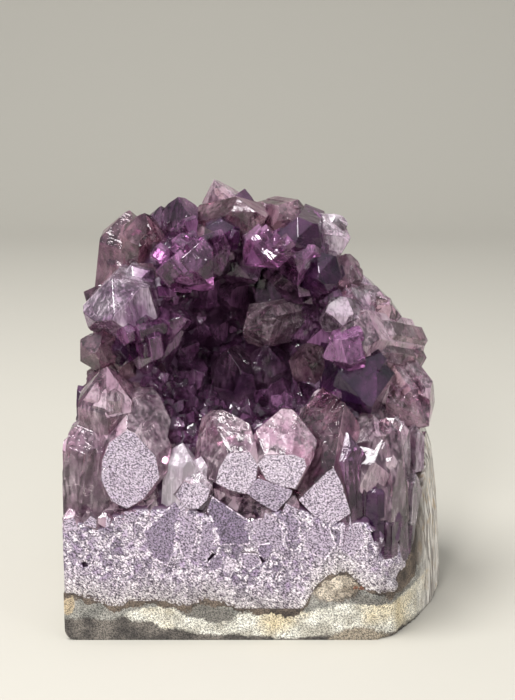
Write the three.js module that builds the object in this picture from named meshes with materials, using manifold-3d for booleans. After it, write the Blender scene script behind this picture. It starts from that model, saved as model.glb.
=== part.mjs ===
// Amethyst cluster with a sawn base: pale to deep violet quartz points, grown together round a dark hollow,
// on the grey and cream rind of the cavity that they lined.
// Millimetres, +Z up. The sawn front looks along -Y. The origin is on the flat underside, under the middle.
import * as THREE from "three";
import { ConvexGeometry } from "three/addons/geometries/ConvexGeometry.js";
import { mergeVertices } from "three/addons/utils/BufferGeometryUtils.js";
import Module from "manifold-3d";

const wasm = await Module();
wasm.setup();

// The sawn block, seen from above: straight front and left side, ground right side, rough back
const FRONT = -30;
const LEFT = -43.8;
const FOOTPRINT = [
  [LEFT, FRONT], [24, FRONT], [27.8, -28], [33.5, -19.5], [38.5, -9.5], [41.5, 0], [43.6, 13], [40.5, 24],
  [31, 30], [21, 31], [11, 29.5], [1, 31], [-9, 29.5], [-19, 31], [-29, 31], [-37, 29.5], [-42, 26], [LEFT, 20],
];
const LEAN_IN = [32, 0.95]; // from this height up, the right half of the block keeps this share of its width
const TALL = 130; // higher than everything
const SEAM = 0.3; // between the rind and the crystals

// How the rind narrows with height: [height, share of its left half, of its right half, of its back half]
const RIND_TAPER = [
  [0, 1, 1, 1], [10, 1, 0.99, 1.01], [20, 1, 0.97, 1.02], [32, 0.99, 0.93, 1], [42, 0.98, 0.84, 0.99],
  [52, 0.95, 0.74, 0.95], [62, 0.9, 0.62, 0.89], [70, 0.84, 0.48, 0.81], [77, 0.72, 0.3, 0.72],
];
const ROUGH = { behind: 20, wander: 1.3 }; // the rough back starts here, and wanders this far

// The cavity that the rind is left round, open in front and on the left: [height, right, back]
const CAVITY = [
  [7.5, 18, 4], [10, 30, 13], [17, 36.5, 18.5], [26, 38.5, 21], [38, 46, 22], [55, 50, 21.5], [68, 50, 20],
  [77.4, 50, 19.5], [78.2, 50, 40], [TALL, 50, 40],
];
const OPEN = -90; // well beyond the block

// Swellings of the rind under the crystals: [centre, radii]
const RIND_LUMPS = [
  [[-45, -24, 7], [12, 16, 5]], [[-24, -22, 6], [8, 18, 3.8]], [[-12, -20, 6], [9, 20, 3.3]],
  [[11, -26, 6], [6, 12, 7]], [[17, -28, 9], [6.5, 12, 7.4]], [[25, -24, 8], [7, 14, 4]],
];

// The grown mass behind the points: [height, left, right, front, back]
const ROOTS = [
  [4, -60, 60, -50, 50], [25, -60, 40, -44, 50], [31, -56, 35, -29, 50], [44, -45, 30, -22, 50],
  [58, -39, 27, -20, 50], [70, -37, 18, -17, 40], [80, -31, 10, -9, 34], [85, -20, 2, -2, 26],
];

// How high the sawn front of the grown mass reaches: [across, height]. Above that it is further back, and more so
// on the right, where the points that stand there were ground with the side.
const SAWN_TOP = [
  [-46, 27.3], [-37.8, 26.8], [-35.8, 25], [-33.6, 27.3], [-29.4, 29.6], [-24.2, 32.6], [-20.5, 32.6],
  [-15.5, 29.7], [-9.5, 27.6], [-3, 26.8], [1.7, 29.5], [7, 30.1], [13.4, 27], [21.5, 27], [24, 24], [28.8, 17.5],
  [46, 15],
];
const SAWN_GAP = 4;
const SIDE_GAP = { left: 26, back: -8 };

// The hollow in the middle of the front
const HOLLOW = { centre: [-4, -20, 62], radii: [21, 33, 21] };

// The angle between the faces of a quartz point's tip and its axis
const TIP_SLOPE = THREE.MathUtils.degToRad(38.2);

// The main points: [tip, root, width across, turn in degrees, and for those that the saw cut off in front
// the corners of the sawn end, across and up, going anticlockwise]
const POINTS = [
  // The crown
  [[-12, 12, 96], [-9, 15, 86], 10, 10],
  [[-5, 12, 94], [-7, 15, 85], 9, 35],
  [[0, -5, 89], [-13, 8, 85], 11, 0],
  [[8, -4, 88], [1, 9, 88], 8, 10],
  [[6, -14, 84], [9, 6, 86], 9, 0],
  [[18, -4, 84], [7, 8, 83], 11, 0],
  [[11, -14, 77], [13, 8, 78], 9, 10],
  // The right shoulder
  [[18, 2, 80], [17, 8, 70], 9, 0],
  [[27, 4, 70], [18, 10, 70], 8, 0],
  [[31, 0, 66], [18, 8, 67], 11, 0],
  [[13, -12, 69], [24, 2, 64], 8, 0],
  [[19, -5, 73], [21, 5, 62], 9, 0],
  [[28, -2, 69], [23, 8, 61], 9, 20],
  [[16, -14, 64], [32, 8, 57], 12, 0],
  [[35, 0, 57], [28, 10, 56], 12, 0],
  [[23, -20, 50], [16, 6, 57], 14, 0],
  [[37, -8, 42], [28, 5, 53], 12, 0],
  // The upper left
  [[-31, 0, 90], [-34, 4, 70], 11, 0],
  [[-27, -6, 90], [-30, 2, 72], 8, 0],
  [[-24, 2, 91], [-25, 6, 79], 6, 0],
  [[-20, 0, 93], [-19, 6, 80], 9, 0],
  [[-22, -16, 81], [-22, 4, 82], 6, 0],
  [[-14, -16, 84], [-14, 6, 83], 7, 0],
  [[-10, -13, 85], [-10, 8, 85], 7, 0],
  // The left side
  [[-32, -26, 70], [-30, 0, 72], 14, 10],
  [[-36, -26, 63], [-36, -5, 60], 8, 0],
  [[-31, -24, 63], [-31, -4, 62], 7, 0],
  [[-34, -24, 59], [-34, -20, 42], 12, 0],
  [[-26, -18, 54], [-31, -39, 28], 14, 8, [
    [-33.2, 44.5], [-34.7, 40.7], [-35.1, 36.3], [-32.9, 31.5], [-29.7, 29.9],
    [-26.1, 32.1], [-22.6, 36.8], [-23.4, 41.6], [-27.7, 46.6], [-29.3, 47.3],
  ]],
  [[-36, -24, 49], [-41, -22, 20], 11, 0],
  // In the hollow
  [[-5, -3, 64], [9, 14, 64], 10, 0],
  [[-9, -1, 58], [-5, 10, 42], 11, 0],
  [[0, 0, 59], [2, 11, 42], 11, 0],
  [[-9, 4, 69], [-10, 20, 70], 10, 0],
  [[-12, 6, 61], [-13, 22, 60], 7, 0],
  [[-20, -8, 64], [-28, 6, 64], 9, 0],
  [[-18, -12, 49], [-26, 2, 44], 8, 0],
  [[8, -10, 59], [15, 6, 49], 9, 0],
  // Along the foot of the hollow
  [[-18, -25, 43], [-19, -26, 28], 7.5, 0],
  [[-14, -25, 40], [-14, -26, 29], 4.5, 0],
  [[-15, -27, 38], [-15, -36, 30], 8, 0, [
    [-18.2, 32.1], [-17.6, 30.1], [-14.6, 29.9], [-12.7, 31.9],
    [-12.1, 34.1], [-13.3, 35.7], [-15.6, 35.7],
  ]],
  [[-12, -19, 48], [-5, -37, 32], 13, 20, [
    [-10.1, 39], [-10.8, 35.7], [-8, 34.1], [-4.6, 33.2],
    [-2.3, 36.6], [-1.9, 39.6], [-3.6, 42.5], [-8.2, 42.3],
  ]],
  [[4, -20, 49], [3, -37, 34], 12.5, 30, [
    [-0.2, 36.3], [3.2, 34.8], [6.1, 34.3], [8.4, 39.2],
    [8, 41], [5.5, 42], [-0.4, 41.8], [-2.1, 39.9],
  ]],
  [[0, -25, 39], [0, -36, 30], 12, 0, [
    [-4.9, 33.7], [-1.5, 31.2], [1.9, 29.2], [5.1, 32.6],
    [5.5, 34.1], [-1.7, 36.8], [-4.2, 35.4],
  ]],
  [[11, -17, 55], [14, -36, 27], 15, 0, [
    [6.6, 31.9], [10, 28.3], [14.1, 26.3], [17.9, 29],
    [15.9, 35.2], [14.1, 39.2], [12.5, 37.9],
  ]],
  [[22, -16, 48], [24, -22, 25], 13, 0],
  [[20, -27, 32], [26, -16, 43], 9, 0],
  [[17, -24, 45], [18, -26, 21], 8, 0],
  // The lower right
  [[29, -14, 46], [30, -12, 28], 4, 0],
  [[34, -6, 42], [34, -6, 31], 4, 0],
  [[37, -3, 33], [38, -4, 21], 6, 0],
  [[28, -21, 36], [29, -20, 24], 5.5, 0],
  [[33, -15, 33], [32, -17, 22], 6.5, 0],
  [[36, -9, 28], [35, -11, 15], 5, 0],
  [[23, -25, 35], [23, -27, 22], 5, 0],
  [[26, -25, 30], [26, -26, 18], 4.5, 0],
  [[28, -21, 28], [29, -23, 14], 5, 0],
  [[32, -16, 26], [32, -19, 10], 5.5, 0],
  [[40, 8, 31], [41, 10, 8], 9, 0],
];

// Degrees that the faces round a sawn end lean back: its lower ones, its upper ones
const END_SLOPES = [20, 40];

// The lesser points: how many, and how they stand
const CROWD = { rows: 5, perRow: 10, low: 31, high: 84, middle: 8, from: 0.86, sweep: 1.28 };
const TOP_CROWD = { count: 8, left: -27, wide: 34, front: 2, deep: 15, height: 81 };
const LINING = { count: 34, reach: 1.05, step: 2.399963, lipHeight: 50, lipFront: -6 };

const vector = (place) => new THREE.Vector3(...place);

// Repeatable random numbers from 0 to 1
function dice(seed) {
  let state = seed >>> 0;
  return () => {
    state = (Math.imul(state, 1664525) + 1013904223) >>> 0;
    return state / 4294967296;
  };
}

// A closed geometry as a solid that can be joined and cut
function solidOf(geometry) {
  geometry.deleteAttribute("normal");
  geometry.deleteAttribute("uv");
  const merged = mergeVertices(geometry, 1e-4);
  const vertProperties = merged.attributes.position.array;
  return new wasm.Manifold(new wasm.Mesh({ numProp: 3, vertProperties, triVerts: merged.index.array }));
}

const join = (solids) => solids.reduce((whole, solid) => whole.add(solid));

// Only the outer skin of a solid: no sealed pockets between the points, and no loose chips
function skinOf(solid) {
  const { vertProperties, triVerts } = solid.getMesh();
  const leader = Array.from({ length: vertProperties.length / 3 }, (_, i) => i);
  const lead = (i) => {
    while (leader[i] !== i) i = leader[i] = leader[leader[i]];
    return i;
  };
  for (let i = 0; i < triVerts.length; i += 3) {
    leader[lead(triVerts[i])] = lead(triVerts[i + 1]);
    leader[lead(triVerts[i + 1])] = lead(triVerts[i + 2]);
  }
  const sizes = new Map();
  triVerts.forEach((corner) => sizes.set(lead(corner), (sizes.get(lead(corner)) ?? 0) + 1));
  const [skin] = [...sizes].sort((a, b) => b[1] - a[1])[0];
  const geometry = new THREE.BufferGeometry();
  geometry.setAttribute("position", new THREE.BufferAttribute(vertProperties, 3));
  geometry.setIndex([...triVerts].filter((corner) => lead(corner) === skin));
  geometry.computeVertexNormals();
  return geometry;
}

// A closed skin over level rings of points, lowest first, all with the same count, going anticlockwise
function loft(rings) {
  const count = rings[0].length;
  const faces = [];
  for (let ring = 0; ring + 1 < rings.length; ring++)
    for (let i = 0; i < count; i++) {
      const [a, b] = [ring * count + i, ring * count + ((i + 1) % count)];
      faces.push(a, b, b + count, a, b + count, a + count);
    }
  const top = (rings.length - 1) * count;
  const lid = (ring) => THREE.ShapeUtils.triangulateShape(ring.map(([x, y]) => new THREE.Vector2(x, y)), []);
  for (const [a, b, c] of lid(rings[0])) faces.push(a, c, b);
  for (const [a, b, c] of lid(rings.at(-1))) faces.push(top + a, top + b, top + c);
  const geometry = new THREE.BufferGeometry();
  geometry.setAttribute("position", new THREE.Float32BufferAttribute(rings.flat(2), 3));
  geometry.setIndex(faces);
  return solidOf(geometry);
}

// A level ring between four sides, squarish with round corners
function roundedRing(height, left, right, front, back, count = 16) {
  const squarish = (v) => 0.47 * Math.sign(v) * Math.sqrt(Math.abs(v));
  return Array.from({ length: count }, (_, i) => {
    const angle = ((i + 0.5) / count) * 2 * Math.PI;
    const x = (left + right) / 2 + (right - left) * squarish(Math.cos(angle));
    const y = (front + back) / 2 + (back - front) * squarish(Math.sin(angle));
    return [x, y, height];
  });
}

function ball(centre, radii, grow = 0) {
  const [a, b, c] = radii.map((radius) => radius + grow);
  return solidOf(new THREE.IcosahedronGeometry(1, 1).scale(a, b, c).translate(...centre));
}

// A closed skin between two upright planes, from its outline across and up
function upright(outline, front, back) {
  const shape = new THREE.Shape(outline.map(([x, z]) => new THREE.Vector2(x, z)));
  const geometry = new THREE.ExtrudeGeometry(shape, { depth: back - front, bevelEnabled: false });
  return solidOf(geometry.rotateX(Math.PI / 2).translate(0, back, 0));
}

// Where three planes meet, each given by its outward direction and its distance from the origin
function meeting([a, fromA], [b, fromB], [c, fromC]) {
  const across = new THREE.Vector3().crossVectors(b, c);
  const volume = a.dot(across);
  if (Math.abs(volume) < 1e-6) return null;
  return across.multiplyScalar(fromA)
    .addScaledVector(new THREE.Vector3().crossVectors(c, a), fromB)
    .addScaledVector(new THREE.Vector3().crossVectors(a, b), fromC)
    .divideScalar(volume);
}

// The faces that lean back from each side of a sawn end, as planes seen from the tip
function facesRoundEnd(outline, tip) {
  return outline.map(([x, z], i) => {
    const [nextX, nextZ] = outline[(i + 1) % outline.length];
    const out = vector([nextZ - z, 0, x - nextX]).normalize();
    const slope = THREE.MathUtils.degToRad(END_SLOPES[out.z > 0 ? 1 : 0]);
    out.multiplyScalar(Math.cos(slope)).setY(-Math.sin(slope));
    return [out, out.dot(vector([x, FRONT, z]).sub(tip))];
  });
}

// A quartz point: a six-sided prism under a six-sided tip, three of whose faces are larger. A sawn end cuts it more.
function quartzPoint(tip, root, width, turn, roll, sawnEnd = []) {
  const up = vector([0, 0, 1]);
  const lean = new THREE.Quaternion().setFromUnitVectors(up, tip.clone().sub(root).normalize());
  lean.multiply(new THREE.Quaternion().setFromAxisAngle(up, THREE.MathUtils.degToRad(turn)));
  const planes = [[vector([0, 0, -1]), tip.distanceTo(root)]];
  for (let side = 0; side < 6; side++) {
    const angle = (side * Math.PI) / 3;
    const out = vector([Math.cos(angle), Math.sin(angle), 0]);
    const slope = out.clone().multiplyScalar(Math.cos(TIP_SLOPE)).setZ(Math.sin(TIP_SLOPE));
    planes.push([out, width * (0.43 + 0.14 * roll())]);
    planes.push([slope, side % 2 ? width * (0.03 + 0.14 * roll()) : width * 0.05 * roll()]);
  }
  for (const [out] of planes) out.applyQuaternion(lean);
  planes.push(...facesRoundEnd(sawnEnd, tip));
  const corners = [];
  for (let i = 0; i < planes.length; i++)
    for (let j = i + 1; j < planes.length; j++)
      for (let k = j + 1; k < planes.length; k++) {
        const corner = meeting(planes[i], planes[j], planes[k]);
        const inside = corner && planes.every(([out, distance]) => out.dot(corner) < distance + 1e-6);
        if (inside) corners.push(corner);
      }
  for (const corner of corners) corner.add(tip);
  return solidOf(new ConvexGeometry(corners));
}

// A main point's own dice come from its place, so that no point changes another
function mainPoint([tip, root, width, turn, sawnEnd]) {
  const [x, y, z] = tip;
  return quartzPoint(vector(tip), vector(root), width, turn, dice(100000 + 37 * x + 61 * y + 97 * z), sawnEnd);
}

// The grown mass at a height: its four sides, between the levels of ROOTS
function rootsAt(height) {
  const next = ROOTS.findIndex(([level]) => level >= height);
  const share = (height - ROOTS[next - 1][0]) / (ROOTS[next][0] - ROOTS[next - 1][0]);
  return ROOTS[next - 1].map((value, i) => value + share * (ROOTS[next][i] - value));
}

// Lesser points between the main ones, on the front and the sides
function crowdOutside(roll) {
  const solids = [];
  const { rows, perRow, low, high, middle, from, sweep } = CROWD;
  for (let row = 0; row < rows; row++)
    for (let i = 0; i < perRow; i++) {
      const height = low + ((row + roll()) / rows) * (high - low);
      const angle = Math.PI * (from + ((i + roll()) / perRow) * sweep);
      const [, left, right, front] = rootsAt(height);
      const x = (left + right) / 2 + ((right - left) / 2) * Math.cos(angle);
      const at = vector([x, middle + (middle - front) * Math.sin(angle), height]);
      const lean = vector([Math.cos(angle), Math.sin(angle), 0.5 + 0.9 * roll()]).normalize();
      const tip = at.clone().addScaledVector(lean, 4 + 3 * roll());
      const root = at.clone().addScaledVector(lean, -7);
      const [width, turn] = [6 + 4 * roll(), 60 * roll()];
      const fromHollow = at.clone().sub(vector(HOLLOW.centre)).divide(vector(HOLLOW.radii)).setY(0).length();
      if (at.y > 0 || fromHollow > 1) solids.push(quartzPoint(tip, root, width, turn, roll));
    }
  return solids;
}

function crowdOnTop(roll) {
  const { count, left, wide, front, deep, height } = TOP_CROWD;
  return Array.from({ length: count }, () => {
    const at = vector([left + wide * roll(), front + deep * roll(), height]);
    const lean = vector([roll() - 0.5, roll() - 0.5, 1.6]).normalize();
    const tip = at.clone().addScaledVector(lean, 2 + 5 * roll());
    return quartzPoint(tip, at.addScaledVector(lean, -9), 5 + 4 * roll(), 60 * roll(), roll);
  });
}

// Points that line the hollow and look into it, spread evenly from its depth outwards
function lining(roll) {
  const solids = [];
  const { count, reach, step, lipHeight, lipFront } = LINING;
  for (let i = 0; i < count; i++) {
    const y = 1 - (i + 0.5) * (reach / count);
    const round = Math.sqrt(1 - y * y);
    const angle = i * step + roll();
    const out = vector([round * Math.cos(angle), y, round * Math.sin(angle)]);
    const wall = out.clone().multiply(vector(HOLLOW.radii)).add(vector(HOLLOW.centre));
    const lean = out.clone().add(vector([roll() - 0.5, roll() - 0.5, roll() - 0.5])).normalize();
    const tip = wall.clone().addScaledVector(lean, -3 - 3 * roll());
    const [width, turn] = [8 + 4 * roll(), 60 * roll()];
    if (wall.z > lipHeight || wall.y > lipFront)
      solids.push(quartzPoint(tip, wall.addScaledVector(lean, 4), width, turn, roll));
  }
  return solids;
}

// The rind: what is left of the rough block round the cavity, with its swellings
function roughBlock() {
  const wander = dice(5);
  return loft(RIND_TAPER.map(([height, toLeft, toRight, toBack]) =>
    FOOTPRINT.map(([x, y]) => {
      const rough = y >= ROUGH.behind ? ROUGH.wander * (2 * wander() - 1) : 0;
      return [x * (x > 0 ? toRight : toLeft), y > 0 ? y * toBack + rough : y, height];
    })));
}

function cavity(shrink) {
  return loft(CAVITY.map(([height, right, back], level) =>
    roundedRing(level ? height : height + shrink, OPEN, right - shrink, OPEN, back - shrink)));
}

const lumps = (grow) => join(RIND_LUMPS.map(([centre, radii]) => ball(centre, radii, grow)));
const rind = roughBlock().subtract(cavity(0)).add(lumps(0).intersect(roughBlock()));

// The crystals: everything grown in the cavity, sawn and ground with the block
const sawnBlock = loft([0, LEAN_IN[0], TALL].map((height) =>
  FOOTPRINT.map(([x, y]) => [x > 0 && height ? x * LEAN_IN[1] : x, y, height])));
const above = ([first, ...others]) => [[first[0], TALL], first, ...others, [others.at(-1)[0], TALL]];
const roots = loft(ROOTS.map((row) => roundedRing(...row)))
  .subtract(ball(HOLLOW.centre, HOLLOW.radii))
  .subtract(upright(above(SAWN_TOP), FRONT - 1, FRONT + SAWN_GAP))
  .subtract(upright(above(SAWN_TOP.filter(([x]) => x > SIDE_GAP.left)), FRONT - 1, SIDE_GAP.back));
const roll = dice(11);
const lesserPoints = [...crowdOutside(roll), ...crowdOnTop(roll), ...lining(roll)];
const grown = join([roots, ...POINTS.map(mainPoint), ...lesserPoints]);
const crystals = grown.intersect(sawnBlock).intersect(cavity(SEAM)).subtract(lumps(SEAM));

function part(name, solid, color, roughness) {
  const material = new THREE.MeshStandardMaterial({ color, roughness, metalness: 0 });
  const mesh = new THREE.Mesh(skinOf(solid), material);
  mesh.name = name;
  return mesh;
}

const cluster = new THREE.Group();
cluster.add(part("rock_rind", rind, 0x7d7d73, 0.85));
cluster.add(part("amethyst_crystals", crystals, 0x6b4a66, 0.15));

export default cluster;
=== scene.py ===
import math
from itertools import combinations

import bmesh
import bpy
import numpy as np
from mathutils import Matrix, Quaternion, Vector, noise


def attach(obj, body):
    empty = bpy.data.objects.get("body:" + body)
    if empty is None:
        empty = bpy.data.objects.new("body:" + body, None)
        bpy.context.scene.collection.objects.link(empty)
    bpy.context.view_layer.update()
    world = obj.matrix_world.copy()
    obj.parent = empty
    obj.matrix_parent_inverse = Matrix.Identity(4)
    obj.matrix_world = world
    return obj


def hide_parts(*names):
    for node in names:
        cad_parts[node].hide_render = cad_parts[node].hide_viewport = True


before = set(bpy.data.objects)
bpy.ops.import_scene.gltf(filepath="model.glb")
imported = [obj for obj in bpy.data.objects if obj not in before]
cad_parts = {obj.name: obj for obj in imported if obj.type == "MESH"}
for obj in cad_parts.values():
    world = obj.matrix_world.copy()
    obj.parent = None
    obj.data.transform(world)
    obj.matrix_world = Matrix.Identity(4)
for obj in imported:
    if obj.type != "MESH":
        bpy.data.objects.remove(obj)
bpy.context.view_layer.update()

# Granular quartz
# Milky quartz in grains and short columns, which grew first, straight on the rock. The crystals rise from it.
# It reaches a little into the rock. The saw cut it flat in front, just behind the sawn faces of the crystals.
MM = 0.001  # sizes are in millimetres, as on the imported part
FRONT = -30.0  # the sawn front, and the sawn left side
LEFT = -43.8
FOOTPRINT = [  # the block from above: sawn in front and on the left, ground on the right, rough behind
    (LEFT, FRONT), (24, FRONT), (27.8, -28), (33.5, -19.5), (38.5, -9.5), (41.5, 0), (43.6, 13), (40.5, 24),
    (31, 30), (21, 31), (11, 29.5), (1, 31), (-9, 29.5), (-19, 31), (-29, 31), (-37, 29.5), (-42, 26),
    (LEFT, 20),
]
LEAN_IN = (32, 0.95)  # from this height up, the right half of the block keeps this share of its width
TALL = 130  # higher than everything
CAVITY = [  # the cavity of the rock that the quartz lines: height, right, back
    (7.5, 18, 4), (10, 30, 13), (17, 36.5, 18.5), (26, 38.5, 21), (38, 46, 22), (55, 50, 21.5), (68, 50, 20),
    (77.4, 50, 19.5), (78.2, 50, 40), (TALL, 50, 40),
]
OPEN = -90  # well beyond the block, in front and on the left
ROOTS = [  # height, left, right, front, back
    (4, -60, 60, -50, 50), (25, -60, 40, -44, 50), (31, -56, 35, -29, 50), (44, -45, 30, -22, 50),
    (58, -39, 27, -20, 50), (70, -37, 18, -17, 40), (80, -31, 10, -9, 34), (85, -20, 2, -2, 26),
]
ROOTS_INSET = 0.07  # behind the sawn faces of the crystals
ROOTS_CORNERS = 48  # round each level
INTO_ROCK = 1.0
HOLLOW_CENTRE = Vector((-4, -20, 62))
HOLLOW_RADII = Vector((21, 33, 21))
HOLLOW_DEEPER = 1.0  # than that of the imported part
SAWN_TOP = [  # how high the sawn front of the granular quartz reaches: across, height
    (-46, 27.3), (-37.8, 26.8), (-35.8, 25), (-33.6, 27.3), (-29.4, 29.6), (-24.2, 32.6), (-20.5, 32.6),
    (-15.5, 29.7), (-9.5, 27.6), (-3, 26.8), (1.7, 29.5), (7, 30.1), (13.4, 27), (21.5, 27), (24, 24),
    (28.8, 17.5), (46, 15),
]
SAWN_GAP = 4  # how far back the front is above that
SIDE_GAP = (26, -8)  # right of here, it is as far back as this
CUT_TOP = 60
CUT_FRONT = FRONT - 20
ROOTS_VOXEL = 0.7
ROOTS_BUMPS = ((1.1, 3.1), (0.5, 1.1))  # how high, and how far apart
SAWN_FLAT = 0.6  # this near the sawn faces there are none
GAPS = [  # open gaps between the sawn columns: outline across and up, going anticlockwise
    [(-13.4, 20.5), (-12.2, 17), (-9.4, 16.8), (-10.2, 19.5)],
    [(-5.5, 20.2), (-5.1, 17.5), (-3.2, 16.1), (-0.2, 18), (-1.9, 20)],
    [(-22.9, 21.5), (-22.6, 19.2), (-21.7, 18.6), (-21.6, 20.3)],
    [(22.2, 24.6), (22.9, 22.3), (24.1, 23.2), (24, 25.3)],
    [(-39.9, 17.8), (-39.4, 16.6), (-38.2, 16.9), (-38.8, 18)],
]
GAP_DEEP = 1.6
RIM = [  # where the quartz starts on the sawn front: across, height
    (-44, 11), (-40, 10.4), (-36, 9.1), (-31.8, 7.8), (-30, 9.1), (-25.3, 9.3), (-20.5, 8.7), (-16.6, 8),
    (-13.4, 9.7), (-9.7, 9.1), (-5.8, 7.1), (-1.9, 7.4), (4, 6.1), (7.2, 6.9), (9, 9.5), (9.8, 12.2),
    (12.6, 14.7), (15.9, 16), (18.5, 15.2), (20.2, 13), (22.8, 11.5), (25.6, 10.2), (28.8, 10.6),
    (31.9, 11.5), (36, 14.5), (40, 18),
]
BANDS_TALL = 20  # heights above a line are given to the materials as shares of this
SAW_ANGLE = math.radians(40)  # the marks run down to the right
SAW_MARK_LONG = 2.2  # times as long as wide
QUARTZ_IOR = 1.544


def new_object(name, mesh):
    made = bpy.data.objects.new(name, mesh)
    bpy.context.scene.collection.objects.link(made)
    return made


def closed_mesh(name, corners, faces):
    """An object with a closed mesh, from corners in millimetres."""
    mesh = bpy.data.meshes.new(name)
    mesh.from_pydata([MM * Vector(corner) for corner in corners], [], faces)
    return new_object(name, mesh)


def loft(name, rings):
    """A closed mesh over level rings of points, lowest first, all with the same count."""
    count = len(rings[0])
    faces = [list(range(count - 1, -1, -1))]
    for ring in range(len(rings) - 1):
        for i in range(count):
            a, b = ring * count + i, ring * count + (i + 1) % count
            faces.append([a, b, b + count, a + count])
    faces.append([(len(rings) - 1) * count + i for i in range(count)])
    return closed_mesh(name, [corner for ring in rings for corner in ring], faces)


def upright(outline, front, back):
    """A closed mesh between two upright planes. Its outline goes anticlockwise, seen from in front."""
    count = len(outline)
    faces = [list(range(count)), list(range(2 * count - 1, count - 1, -1))]
    for i in range(count):
        after = (i + 1) % count
        faces.append([i, i + count, after + count, after])
    return closed_mesh("upright", [(x, y, z) for y in (front, back) for x, z in outline], faces)


def rounded_ring(height, left, right, front, back, count=16):
    """A level ring between four sides, squarish with round corners."""
    def squarish(value):
        return 0.47 * math.copysign(math.sqrt(abs(value)), value)

    ring = []
    for i in range(count):
        angle = (i + 0.5) / count * 2 * math.pi
        x = (left + right) / 2 + (right - left) * squarish(math.cos(angle))
        y = (front + back) / 2 + (back - front) * squarish(math.sin(angle))
        ring.append((x, y, height))
    return ring


def ball(centre, radii, grow):
    shell = bmesh.new()
    bmesh.ops.create_icosphere(shell, subdivisions=4, radius=1)
    for vertex in shell.verts:
        for axis in range(3):
            vertex.co[axis] = MM * (centre[axis] + (radii[axis] + grow) * vertex.co[axis])
    mesh = bpy.data.meshes.new("ball")
    shell.to_mesh(mesh)
    shell.free()
    return new_object("ball", mesh)


def block(inset=0.0):
    """The sawn and ground block."""
    rings = []
    for height in (0, LEAN_IN[0], TALL):
        share = LEAN_IN[1] if height else 1
        xs = [x * share if x > 0 else max(x, LEFT + inset) for x, _ in FOOTPRINT]
        rings.append([(x, max(y, FRONT + inset), height) for x, (_, y) in zip(xs, FOOTPRINT)])
    return loft("block", rings)


def cavity(grow=0.0):
    rings = []
    for level, (height, right, back) in enumerate(CAVITY):
        rings.append(rounded_ring(height if level else height - grow, OPEN, right + grow, OPEN, back + grow))
    return loft("cavity", rings)


def after_modifiers(source):
    """The object with its modifiers applied."""
    depsgraph = bpy.context.evaluated_depsgraph_get()
    mesh = bpy.data.meshes.new_from_object(source.evaluated_get(depsgraph), depsgraph=depsgraph)
    source.modifiers.clear()
    source.data = mesh
    return source


def boolean(target, operation, others):
    """Joins, cuts or intersects the target with the others, which are used up."""
    group = bpy.data.collections.new("operands")
    bpy.context.scene.collection.children.link(group)
    for other in others:
        bpy.context.scene.collection.objects.unlink(other)
        group.objects.link(other)
    step = target.modifiers.new("step", "BOOLEAN")
    step.operation = operation
    step.solver = "MANIFOLD"
    step.operand_type = "COLLECTION"
    step.collection = group
    after_modifiers(target)
    for other in others:
        bpy.data.objects.remove(other)
    bpy.data.collections.remove(group)
    return target


def remeshed(source, voxel):
    """The object's own skin over an even mesh, with sides of voxel millimetres."""
    step = source.modifiers.new("even", "REMESH")
    step.mode = "VOXEL"
    step.voxel_size = MM * voxel
    after_modifiers(source).data.shade_smooth()


def moved(source, shift):
    """Moves each corner by what shift gives for its place and its outward direction, in millimetres."""
    mesh = source.data
    outs = [vertex.normal.copy() for vertex in mesh.vertices]
    places = [vertex.co / MM for vertex in mesh.vertices]
    for vertex, place, out in zip(mesh.vertices, places, outs):
        vertex.co = MM * (place + shift(place, out))
    mesh.update()


def sawn_shift(place, out):
    """Rough where it grew, and flat where it was sawn."""
    if place.y < FRONT + SAWN_FLAT or place.x < LEFT + SAWN_FLAT:
        return Vector()
    return out * sum(high * noise.noise(place / apart) for high, apart in ROOTS_BUMPS)


roots = loft("granular_quartz", [rounded_ring(*row, count=ROOTS_CORNERS) for row in ROOTS])
boolean(roots, "DIFFERENCE", [ball(HOLLOW_CENTRE, HOLLOW_RADII, HOLLOW_DEEPER)])
boolean(roots, "INTERSECT", [block(ROOTS_INSET)])
boolean(roots, "INTERSECT", [cavity(INTO_ROCK)])
above_front = [(SAWN_TOP[0][0], CUT_TOP), *SAWN_TOP, (SAWN_TOP[-1][0], CUT_TOP)]
beside = [(x, z) for x, z in above_front if x > SIDE_GAP[0]]
cuts = [
    upright(above_front, CUT_FRONT, FRONT + SAWN_GAP),
    upright([(beside[0][0], CUT_TOP), *beside], CUT_FRONT, SIDE_GAP[1]),
]
boolean(roots, "DIFFERENCE", cuts)
remeshed(roots, ROOTS_VOXEL)
moved(roots, sawn_shift)
boolean(roots, "DIFFERENCE", [upright(outline, FRONT - 1, FRONT + GAP_DEEP) for outline in GAPS])


def linear(code):
    """An sRGB hex colour as linear red, green, blue and alpha."""
    parts = [int(code[i:i + 2], 16) / 255 for i in (1, 3, 5)]
    return (*(v / 12.92 if v <= 0.04045 else ((v + 0.055) / 1.055) ** 2.4 for v in parts), 1)


def per(size):
    """How many of a size in millimetres go into a metre, which is what a pattern's scale is."""
    return 1 / (MM * size)


def new_material(name):
    made = bpy.data.materials.new(name)
    made.use_nodes = True
    made.node_tree.nodes.clear()
    return made, made.node_tree


def add(tree, kind, inputs=(), **settings):
    """Adds a node with its settings, and sets or links its inputs. A node as input is its first output."""
    made = tree.nodes.new("ShaderNode" + kind)
    for name, value in settings.items():
        setattr(made, name, value)
    for name, value in dict(inputs).items():
        if isinstance(value, bpy.types.Node):
            value = next(output for output in value.outputs if output.enabled)
        if isinstance(value, bpy.types.NodeSocket):
            tree.links.new(value, made.inputs[name])
        else:
            made.inputs[name].default_value = value
    return made


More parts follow.
